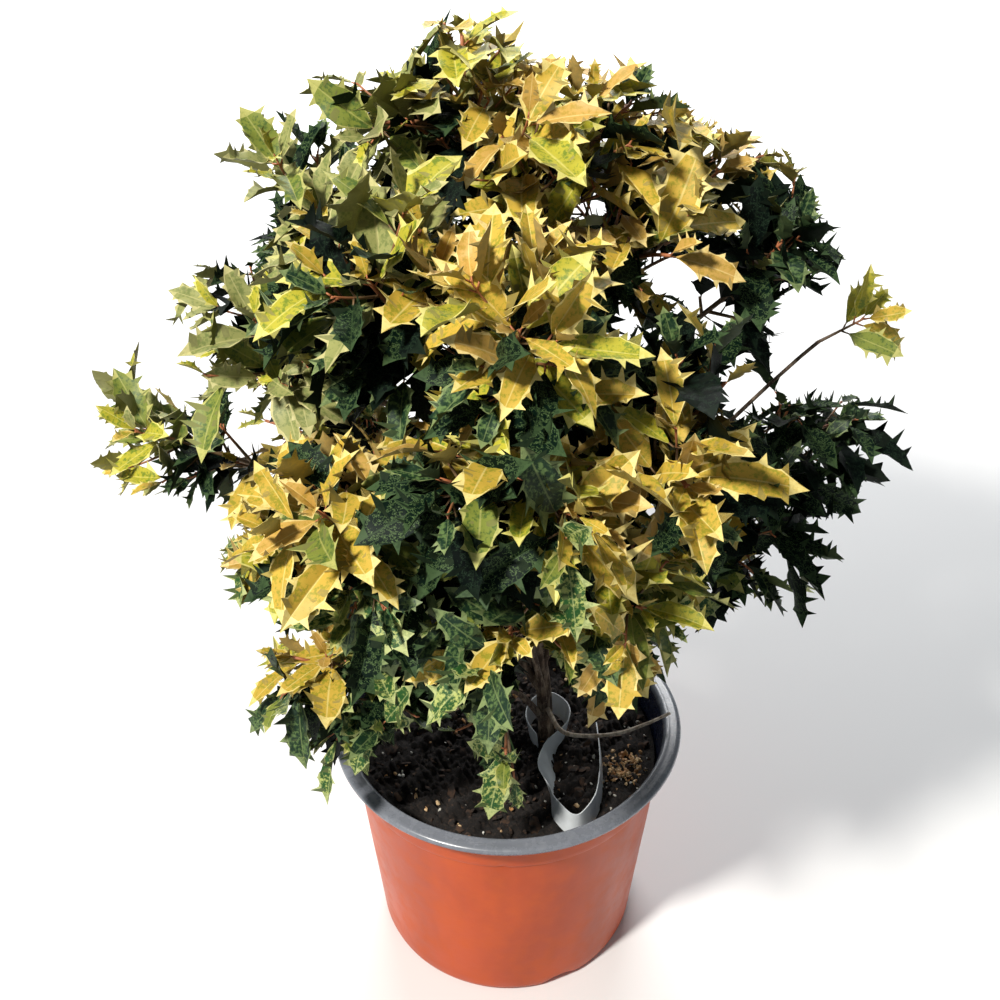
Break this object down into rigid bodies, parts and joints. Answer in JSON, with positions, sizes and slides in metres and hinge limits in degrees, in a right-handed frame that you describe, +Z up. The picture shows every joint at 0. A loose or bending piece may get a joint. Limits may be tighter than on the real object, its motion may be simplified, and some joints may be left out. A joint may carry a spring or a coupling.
{
  "type": "potted shrub",
  "caption": "Variegated holly-leaved evergreen shrub, rounded and twiggy, with gold, cream and dark green leaves, in a round two-tone nursery pot.",
  "frame": {"origin": "centre of the pot's flat underside, on the ground", "axes": "+Z straight up, -Y towards the front of the plant, +X to the right as seen from the front"},
  "size_m": [0.5172, 0.4822, 0.7151],
  "materials": {
    "terracotta": "satin",
    "soil": "matte",
    "label": "satin",
    "bark": "matte",
    "foliage_gold": "satin",
    "foliage_lime": "satin",
    "foliage_green": "satin"
  },
  "bodies": {
    "root": {"pot": "terracotta", "soil": "soil", "stem_label": "label", "trunk": "bark", "bough_top": "bark", "bough_left_upper": "bark", "bough_left": "bark", "bough_far_left": "bark", "bough_left_low": "bark", "bough_low_left": "bark", "bough_front_low": "bark", "bough_low_right": "bark", "bough_right_low": "bark", "bough_right": "bark", "bough_right_upper": "bark", "bough_whip": "bark", "bough_right_top": "bark", "bough_top_right": "bark", "bough_centre_left": "bark", "bough_centre": "bark", "bough_front_middle": "bark", "bough_centre_right": "bark", "bough_right_front": "bark", "bough_left_front": "bark", "bough_centre_low": "bark", "bough_back_top": "bark", "bough_back_left": "bark", "bough_back_right": "bark", "bough_back": "bark", "bough_back_low_left": "bark", "bough_back_low_right": "bark", "leaves_top_left": "foliage_lime", "leaves_top": "foliage_gold", "leaves_left_upper": "foliage_lime", "leaves_left": "foliage_lime", "leaves_far_left": "foliage_lime", "leaves_left_low": "foliage_lime", "leaves_low_left": "foliage_green", "leaves_front_low": "foliage_green", "leaves_low_right": "foliage_green", "leaves_right_low": "foliage_green", "leaves_right": "foliage_green", "leaves_right_upper": "foliage_green", "leaves_whip": "foliage_lime", "leaves_right_top": "foliage_green", "leaves_top_right": "foliage_gold", "leaves_centre_left": "foliage_lime", "leaves_centre": "foliage_gold", "leaves_front_middle": "foliage_gold", "leaves_centre_right": "foliage_gold", "leaves_right_front": "foliage_gold", "leaves_left_front": "foliage_gold", "leaves_centre_low": "foliage_gold", "leaves_back_top": "foliage_green", "leaves_back_left": "foliage_green", "leaves_back_right": "foliage_green", "leaves_back": "foliage_green", "leaves_back_low_left": "foliage_green", "leaves_back_low_right": "foliage_green"}
  },
  "joints": []
}
